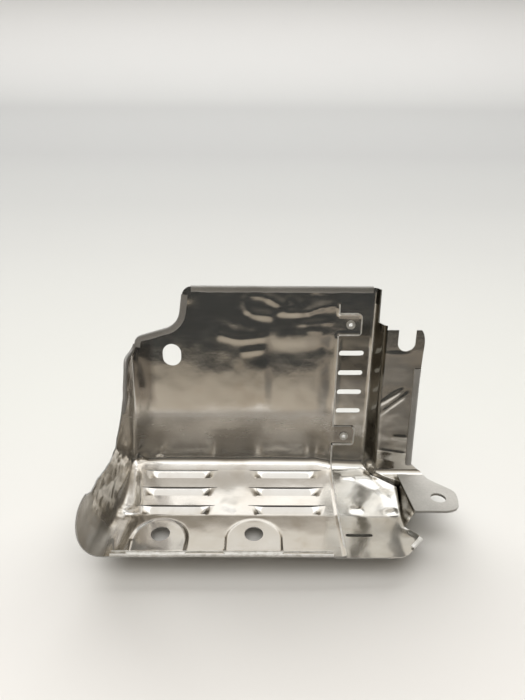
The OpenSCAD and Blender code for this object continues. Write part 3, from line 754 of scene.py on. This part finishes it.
SHOULDER_LINE = [(-CREASE_LEFT, CREASE_TOP), (-78.5, 90), (-52, 98), (-48.5, WALL_H), (BAND_RIGHT, WALL_H)]
SHOULDER_BENDS = [0, 6, 12, 6, 0]
EDGE_IN = 0.45
ABOVE_WALL, LEFT_OF_FLARE, RIGHT_OF_BAND = 140, -110, 80
shoulder_cut = [p for p in bent_line(SHOULDER_LINE, SHOULDER_BENDS, -EDGE_IN) if p[1] > FLARE_TOP]
punch(trough, [(LEFT_OF_FLARE, 95), (left_edge(FLARE_TOP), FLARE_TOP)] + shoulder_cut
      + [(RIGHT_OF_BAND, WALL_H - EDGE_IN), (RIGHT_OF_BAND, ABOVE_WALL), (LEFT_OF_FLARE, ABOVE_WALL)],
      on_wall(-12, 16))
for middle in PAD_MIDDLES:
    punch(trough, round_hole(0, PAD_HOLE_D, PAD_HOLE_R), on_rise(middle, PAD_TOP_Y, PAD_TOP_Z, PAD_RISE, -8, 8))
OBLONG_X, OBLONG_H, OBLONG_L, OBLONG_W = -56.6, 78.5, 14.2, 11.4
oblong = [(OBLONG_X + y, OBLONG_H + x) for x, y in long_hole(0, 0, OBLONG_L, OBLONG_W)]
punch(trough, oblong, on_wall(-8, 8))
RIVET_R = 1.95
for lug in LUGS:
    punch(trough, round_hole(SEAM_X + LUG_W / 2, lug, RIVET_R, 24), on_wall(-8, 8))
    for side in (-1, 1):
        tip_h = lug + side * LUG_W / 2
        arc = [(lug_right - LUG_R + LUG_R * math.sin(a), tip_h - side * LUG_R * (1 - math.cos(a)))
               for a in np.linspace(0, math.pi / 2, 7)]
        outside = [(lug_right + 1, arc[-1][1]), (lug_right + 1, tip_h + side), (arc[0][0], tip_h + side)]
        punch(trough, arc + outside, on_wall(-4, 4))


def finish_piece(piece, node_name, angle=38):
    make_active(piece)
    bpy.ops.object.shade_smooth_by_angle(angle=math.radians(angle))
    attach(piece, "root")
    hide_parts(node_name)


finish_piece(trough, "trough_shell")

# Hems of the trough. The sheet's edge is folded over on itself and pressed flat, so the matt back shows as a
# grey strip along the top, the shoulder and the left flare. The fold under the rim carries the pale painted
# highlight.
HEM_SECTION = [(3.7, 0.04), (3.66, 0.72), (3.4, 0.86), (2.4, 0.93), (1.2, 0.92), (0.45, 0.80),
               (0.08, 0.45), (0.0, 0.0), (0.1, -0.42), (0.45, -0.78), (1.0, -0.84)]


def lay_hem(name, edge, inward, normal, node_name, scale=1.0, wave=0.0, seed=1, metal=matt):
    """A strip wrapped round an edge, given points on the edge and which way the sheet and its face lie."""
    edge = np.array(edge)
    inward, normal = np.broadcast_to(inward, edge.shape), np.broadcast_to(normal, edge.shape)
    points = np.zeros((len(HEM_SECTION), len(edge), 3))
    for k, (into, out) in enumerate(HEM_SECTION):
        reach = np.full(len(edge), into * scale)
        if k < 4:
            reach += [wave * noise.noise(Vector(p) / 9 + Vector((seed, 0, 0))) for p in edge]
        lift = np.full(len(edge), out)
        if k < 5:
            lift += [0.12 * noise.noise(Vector(p) / 6 + Vector((seed, k * 0.2, 5))) for p in edge]
        points[k] = edge + inward * reach[:, None] + normal * lift[:, None]
    strip = press_sheet(name, points, np.ones((len(HEM_SECTION) - 1, len(edge) - 1), dtype=bool))
    strip.data.materials.append(metal)
    apply_modifier(strip, "SOLIDIFY", thickness=0.00025, offset=0)
    make_active(strip)
    bpy.ops.object.mode_set(mode="EDIT")
    bpy.ops.mesh.select_all(action="SELECT")
    bpy.ops.mesh.normals_make_consistent(inside=False)
    bpy.ops.object.mode_set(mode="OBJECT")
    finish_piece(strip, node_name, 50)


def resample(points, step):
    points = np.array(points, dtype=float)
    lengths = np.concatenate([[0], np.cumsum(np.linalg.norm(np.diff(points, axis=0), axis=1))])
    at = np.linspace(0, lengths[-1], max(2, round(lengths[-1] / step)))
    return np.stack([np.interp(at, lengths, points[:, k]) for k in range(points.shape[1])], axis=1)


def unit(vectors):
    return vectors / np.linalg.norm(vectors, axis=1)[:, None]


wall_normal = np.array([0, -math.cos(LEAN), math.sin(LEAN)])
to_wall = on_wall(0, 1)


def wall_hem(name, line, seed):
    edge = np.array([to_wall(x, h, 0) for x, h in resample(line, 1.0)])
    inward = -np.cross(wall_normal, unit(np.gradient(edge, axis=0)))
    lay_hem(name, edge, inward, wall_normal, "trough_shell", 1, 0.5, seed)


HEM_CORNER_X, SHOULDER_LOW, SHOULDER_HIGH = -45, 84, 117
outline = bent_line(SHOULDER_LINE, SHOULDER_BENDS)
wall_hem("top_hem", [p for p in outline if p[1] >= WALL_H - 0.001 and p[0] > HEM_CORNER_X], 1)
shoulder = [(-79.8, SHOULDER_LOW)] + [p for p in outline if SHOULDER_LOW < p[1] < SHOULDER_HIGH]
wall_hem("shoulder_hem", shoulder, 2)

flare_rows = [r for r in range(len(rows)) if 42 < rows[r] < FLARE_TOP]
edge = shell[flare_rows, 0]
inward = unit(shell[flare_rows, 4] - edge)
lay_hem("flare_hem", edge - inward * 0.3, inward, face_normals(shell)[flare_rows, 0],
        "trough_shell", 0.95, 0.6, 3)
lay_hem("rim_hem", shell[0, crease_column:seam_column - 8], [0.0, 1.0, 0.0], [0.0, 0.0, -1.0],
        "trough_shell", 0.9, 0.3, 4, painted_highlight)

# End panel. A second sheet of the same steel, riveted behind the trough's right edge. Its slotted strip
# steps forward into a notched bracket, whose foot folds into a screw tab, and a thin web joins the tab
# to the panel's floor.
LAP_LEFT, STRIP_EDGE, BRACKET_X, STEP_D = 40.3, 65.9, 73.1, 11.5
TAB_Y, TAB_Z, TAB_RISE, TAB_FRONT = -10.62, 4.6, math.radians(16), -48.7
BRACKET_H = 98.4

# Right edge of the floor, left edge of the tab and right edge of tab and bracket, as c and x.
FLOOR_EDGE = [(RIM_Y, 93), (-60, 93), (-52, 88), (TAB_FRONT, 84.5), (-19.6, 86.5), (-9.6, 71.5),
              (0, 67.9), (3, STRIP_EDGE)]
WEB_TOP = [(RIM_Y, 93), (TAB_FRONT, 88), (-30, 87.6), (-19.6, 87), (-10.6, 73.0)]
TAB_EDGE = [(TAB_FRONT, 107), (-48.5, 108.5), (-48, 110.3), (-46.5, 113.2), (-44, 115.2), (-40, 116.5),
            (-36, 117.3), (-33, 117.55), (-31, 117.2), (-29, 116), (-26, 113.2), (-22, 108.8),
            (-17.6, 105), (-14, 103.6), (-8, 102.5), (8, 96), (74.5, 95.5), (91, 96), (94, 95.6),
            (96.5, 94.9), (BRACKET_H, 93.6)]
FOLD_R = 4
fold_swing = math.radians(90) - LEAN + TAB_RISE
fold_lead = FOLD_R * math.tan(fold_swing / 2)


def fold_point(d):
    """Y and Z of the plate that is the tab for d below 0 and the bracket above."""
    before = np.array([math.cos(TAB_RISE), -math.sin(TAB_RISE)])
    after = np.array([math.sin(LEAN), math.cos(LEAN)])
    corner = np.array([TAB_Y, TAB_Z])
    if d <= -fold_lead:
        return corner + before * d
    if d >= fold_lead:
        return corner + after * d
    side = np.array([-before[1], before[0]])
    normal = turned(side, fold_swing * (d + fold_lead) / (2 * fold_lead))
    return corner - before * fold_lead + side * FOLD_R - normal * FOLD_R


# The step's section from the strip to the bracket, as x and the distance in front of the wall.
STEP_LINE = [(62.5, -LAPPED), (67.5, -LAPPED), (71.5, STEP_D), (76.5, STEP_D)]
STEP_BENDS = [0, 1.3, 2.5, 0]
STRIP_COLUMNS, STEP_COLUMNS, PLATE_COLUMNS = 44, 22, 44
PLATE_START = STRIP_COLUMNS + STEP_COLUMNS
step_path = resample(bent_line(STEP_LINE, STEP_BENDS), 0.1)
step_path = resample([p for p in step_path if STRIP_EDGE <= p[0] <= BRACKET_X], 0.7)
step_shares = np.linspace(0, 1, STEP_COLUMNS + 1)
step_path = np.stack([np.interp(step_shares, np.linspace(0, 1, len(step_path)), step_path[:, k])
                      for k in (0, 1)], axis=1)
step_off = np.concatenate([np.zeros(STRIP_COLUMNS), step_path[:, 1], np.full(PLATE_COLUMNS, STEP_D)])

end_rows = spaced(RIM_Y, TAB_FRONT, 0.8) + spaced(TAB_FRONT, -FLOOR_D, 0.8) + spaced(-FLOOR_D, 10, 0.75)
end_rows += spaced(10, BRACKET_H, 1.1) + spaced(BRACKET_H, WALL_H - 1, 1.3) + [WALL_H - 1]
end_rows = np.array(end_rows)
wide = PLATE_START + PLATE_COLUMNS + 1
panel = np.zeros((len(end_rows), wide, 3))
for r, c in enumerate(end_rows):
    (y, z), normal = side_point(c)
    y, z = np.array([y, z]) - normal * LAPPED
    for k, x in enumerate(np.linspace(LAP_LEFT, np.interp(c, *zip(*FLOOR_EDGE)), STRIP_COLUMNS + 1)):
        panel[r, k] = [x, y + foot_back(c, x) * (1 - ease(x, 47, 62)), z]
    plate_d = np.interp(c, [-80, TAB_Y, 8, 130], [(-80 - TAB_Y) / math.cos(TAB_RISE), 0, 6.7, 128.7])
    plate_y, plate_z = fold_point(plate_d)
    plate_left = BRACKET_X if c > TAB_Y else np.interp(c, *zip(*WEB_TOP))
    for k, x in enumerate(np.linspace(plate_left, np.interp(c, *zip(*TAB_EDGE)), PLATE_COLUMNS + 1)):
        panel[r, PLATE_START + k] = [x, plate_y, plate_z]
    near, far = panel[r, STRIP_COLUMNS].copy(), panel[r, PLATE_START].copy()
    path = np.array([on_wall(off, off)(x, max(c, 0), 0) for x, off in step_path])
    for k, t in enumerate(step_shares):
        bow = path[k] - (path[0] * (1 - t) + path[-1] * t)
        panel[r, STRIP_COLUMNS + k] = near * (1 - t) + far * t + ease(c, -3, 5) * bow
panel_x = panel[:, :, 0].copy()
low_rows = end_rows < 6
for _ in range(5):
    for column in (STRIP_COLUMNS, PLATE_START):
        near = panel[low_rows, column - 3:column + 4].copy()
        near[:, 1:-1] = near[:, 1:-1] * 0.5 + (near[:, :-2] + near[:, 2:]) * 0.25
        panel[low_rows, column - 3:column + 4] = near

end_c = np.repeat(end_rows[:, None], wide, axis=1)
column_number = np.repeat(np.arange(wide)[None, :], len(end_rows), axis=0)
on_strip, on_plate = column_number <= STRIP_COLUMNS, column_number >= PLATE_START
BRACKET_FOLDS = [
    ((72, 50), (86, 60), 1.1, 0.42), ((74, 44), (89, 57), 1.2, 0.3),
    ((82, 27.5), (92, 27), 1.0, 0.3), ((74, 18), (93, 15), 1.1, 0.4), ((75, 11), (92, 10), 1.1, 0.22)]
END_FOLDS = [
    ((54, -35), (62, -35), 2.0, 0.6), ((70, -13), (82, -32), 2.0, 0.4), ((74, -14), (84, -24), 1.4, -0.2),
    ((76, -38), (83, -36), 2.0, 0.5), ((52, -10), (60, -10), 2.0, 0.5)]
end_relief = folds(panel_x, end_c, BRACKET_FOLDS) * (on_plate & (end_c > 2))
end_relief += folds(panel_x, end_c, END_FOLDS) * (on_strip & (end_c < 0))
bracket_foot = on_plate * ease(end_c, 6, 12) * (1 - ease(end_c, 56, 70))
end_relief += 0.22 * crumple(panel * np.array([0.4, 1, 1]), 9, 12) * bracket_foot
end_relief -= 0.8 * (ease(end_c, 4, 60) - ease(end_c, 60, 84)) * (on_plate & (end_c > 3))
end_relief += (0.25 * ripple(panel, 14, 13) + 0.05 * ripple(panel, 5, 14)) * (end_c < 85)
floor_corner = on_strip * ease(panel_x, 66, 74) * (end_c < 0) * ease(end_c, -48, -44)
end_relief += 0.15 * crumple(panel, 8, 15) * floor_corner
strip_lean = np.interp(end_c, [28, 38, 84], [0, 0.12, 1]) * (1 - ease(end_c, 79, 91.2))
end_relief -= 0.9 * strip_lean * on_strip * ease(panel_x, SEAM_X - 1, SEAM_X + 2)
end_relief *= 1 - on_strip * (1 - ease(panel_x, SEAM_X, SEAM_X + 3))
panel = panel + face_normals(panel) * end_relief[:, :, None]
from_fold = np.interp(end_c, *zip(*FLOOR_EDGE)) - panel_x
at_fold = ease(-end_c, 1, 14) * (1 - ease(-end_c, 18, 36))
panel[:, :, 2] += 2.6 * on_strip * (1 - ease(from_fold, -3, 20)) * at_fold
panel[:, :, 2] += 2.2 * on_strip * ease(panel_x, 78, 92) * (1 - ease(end_c, -58, -50))

middle_c = (end_c[:-1, :-1] + end_c[1:, 1:]) / 2
middle_column = (column_number[:-1, :-1] + column_number[1:, 1:]) / 2
keep = ~((middle_column > STRIP_COLUMNS) & (middle_c < TAB_FRONT))
keep &= ~((middle_column > PLATE_START) & (middle_c > BRACKET_H))
keep &= ~((step_off[None, :-1] > 3.6) & (middle_c > BRACKET_H + 2))
end_panel = press_sheet("end_sheet", panel, keep)

stained_with_painted_shade, tree, (east, north, up), cloud, colour, roughness, bump = rolled_steel("stained_with_painted_shade_sheet", [
    (0.68, 0.645, 0.585), (0.77, 0.75, 0.71), (0.81, 0.80, 0.77), (0.73, 0.70, 0.65)])
# Painted shade and reflections: the step's side, the slotted strip, its foot and the bracket's lower part are
# painted dark in place of the dark surroundings they reflect. The web between floor and tab is painted dark as
# the shade it lies in. Step and web get a cloudy tone.
step_painted_reflection = patch((east, 0.1272, 1500.0), (east, 0.1334, -1500.0), (up, 0.006, 300.0))
web_painted_shade = patch((east, 0.1435, 900.0), (north, 0.006, 400.0), (north, 0.041, -400.0), (up, 0.0125, -900.0))
strip_wide = patch((east, 0.1065, 800.0), (east, 0.1262, -800.0))
foot_painted_reflection = strip_wide * patch((up, 0.004, 300.0), (up, 0.030, -200.0))
slots_painted_reflection = strip_wide * patch((up, 0.050, 120.0), (up, 0.094, -200.0))
bracket_painted_reflection = patch((east, 0.1340, 900.0), (up, 0.046, -60.0), (up, 0.007, 300.0), (north, 0.047, 300.0))
painted_shade_and_reflection = (step_painted_reflection + web_painted_shade) * (cloud * 0.5 + 0.72) + slots_painted_reflection * 0.6 + foot_painted_reflection * 0.4 + bracket_painted_reflection * 0.35
colour = mixed(tree, rising(painted_shade_and_reflection, 0.0, 1.0), colour, (0.13, 0.118, 0.095, 1))
finish_material(tree, Base_Color=colour, Metallic=1.0, Roughness=roughness + 0.08, Normal=bump)
thicken(end_panel, stained_with_painted_shade, matt)

SLOT_L, SLOT_W, SLOT_LOW, SLOT_PITCH = 15.6, 3.3, 40, 13.1
for k in range(4):
    slot = long_hole(SEAM_X + 1 + SLOT_L / 2, SLOT_LOW + SLOT_PITCH * k, SLOT_L, SLOT_W)
    punch(end_panel, slot, on_wall(-8, 8))
for lug in LUGS:
    punch(end_panel, round_hole(SEAM_X + LUG_W / 2, lug, RIVET_R, 24), on_wall(-8, 8))
FLOOR_SLOT_Y, FLOOR_SLOT_L, FLOOR_SLOT_W = -55.5, 15.8, 2.4
floor_slot = long_hole(SEAM_X + 2 + FLOOR_SLOT_L / 2, FLOOR_SLOT_Y, FLOOR_SLOT_L, FLOOR_SLOT_W)
punch(end_panel, floor_slot, upright(-4, 14))
NOTCH_LEFT, NOTCH_RIGHT, NOTCH_FOOT, NOTCH_R = 80, 90.4, 85.2, 5.15
notch = bent_line([(NOTCH_LEFT, 120), (NOTCH_LEFT, NOTCH_FOOT), (NOTCH_RIGHT, NOTCH_FOOT), (NOTCH_RIGHT, 120)],
                  [0, NOTCH_R, NOTCH_R, 0], 0, 10)
punch(end_panel, notch, on_wall(6, 18))
TIP_LINE, TIP_BENDS = [(86.0, -49.5), (93, -59), (80, -71.5), (62, -73)], [0, 3, 12, 0]
in_front_of_tip = [(62, -90), (112, -90), (112, -49.5)]
punch(end_panel, bent_line(TIP_LINE, TIP_BENDS, 0, 8) + in_front_of_tip, upright(-6, 15))
TAB_HOLE_X, TAB_HOLE_D, TAB_HOLE_R = 105.6, 26.18 / math.cos(TAB_RISE), 4.5
tab_hole = round_hole(TAB_HOLE_X, TAB_HOLE_D, TAB_HOLE_R)
punch(end_panel, tab_hole, on_rise(0, TAB_Y, TAB_Z, TAB_RISE, -6, 6))
finish_piece(end_panel, "end_panel")

# Tab plate and hems of the panel. The sheet is folded double at the tab, so its matt back shows, and the
# bracket's right edge is folded over in the same way. A short hem on the curled tip carries the pale painted
# highlight.
outer = [(x, (TAB_Y - y) / math.cos(TAB_RISE)) for y, x in TAB_EDGE if y < -13]
plate_line = [(88.2, (TAB_Y - TAB_FRONT) / math.cos(TAB_RISE))] + outer + [(87.0, 2.6)]
plate = block(plate_line, on_rise(0, TAB_Y, TAB_Z, TAB_RISE, 0.02, 0.82))
plate.name = "tab_plate"
plate.data.materials.append(matt_metal("matt_tab", (0.39, 0.378, 0.35), (0.52, 0.503, 0.47), 0.15))
punch(plate, tab_hole, on_rise(0, TAB_Y, TAB_Z, TAB_RISE, -6, 6))
apply_modifier(plate, "BEVEL", width=0.0003, segments=3, limit_method="ANGLE")
finish_piece(plate, "end_panel", 30)

hem_rows = [r for r in range(len(end_rows)) if 7 < end_rows[r] < 74.5]
lay_hem("bracket_hem", panel[hem_rows, -1], [-1.0, 0.0, 0.0], wall_normal,
        "end_panel", 1.0, 0.5, 5)

(tip_x, tip_y), (rim_x, rim_y) = TIP_LINE[1:3]
strip_points = panel[:, :STRIP_COLUMNS + 1].reshape(-1, 3)
edge = []
for t in np.linspace(0.12, 0.62, 12):
    x, y = tip_x + (rim_x - tip_x) * t, tip_y + (rim_y - tip_y) * t
    nearest = np.argmin(np.hypot(strip_points[:, 0] - x, strip_points[:, 1] - y))
    edge.append([x, y, strip_points[nearest, 2]])
lay_hem("tip_hem", edge, [-0.693, 0.721, 0.0], [0.0, 0.0, 1.0], "end_panel", 0.6, 0.4, 6, painted_highlight)

# Rivets. Two hollow rivets with rolled heads hold the trough's lugs to the panel behind them. They are
# the frame's own meshes, in dull zinc-plated steel.
rivet_metal, tree = new_material("rivet_metal")
tone_noise = grain(tree, object_place(tree), 600.0, 3.0)
colour = ramp(tree, tone_noise, [(0.35, (0.70, 0.69, 0.66)), (0.65, (0.88, 0.87, 0.84))])
bump = nodes(tree, "ShaderNodeBump", None, {"Strength": 0.2, "Distance": 0.0002, "Height": tone_noise})[0]
finish_material(tree, Base_Color=colour, Metallic=0.45, Roughness=tone_noise * 0.2 + 0.25, Normal=bump)
for name in ("upper_rivet", "lower_rivet"):
    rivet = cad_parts[name]
    rivet.data.materials.clear()
    rivet.data.materials.append(rivet_metal)
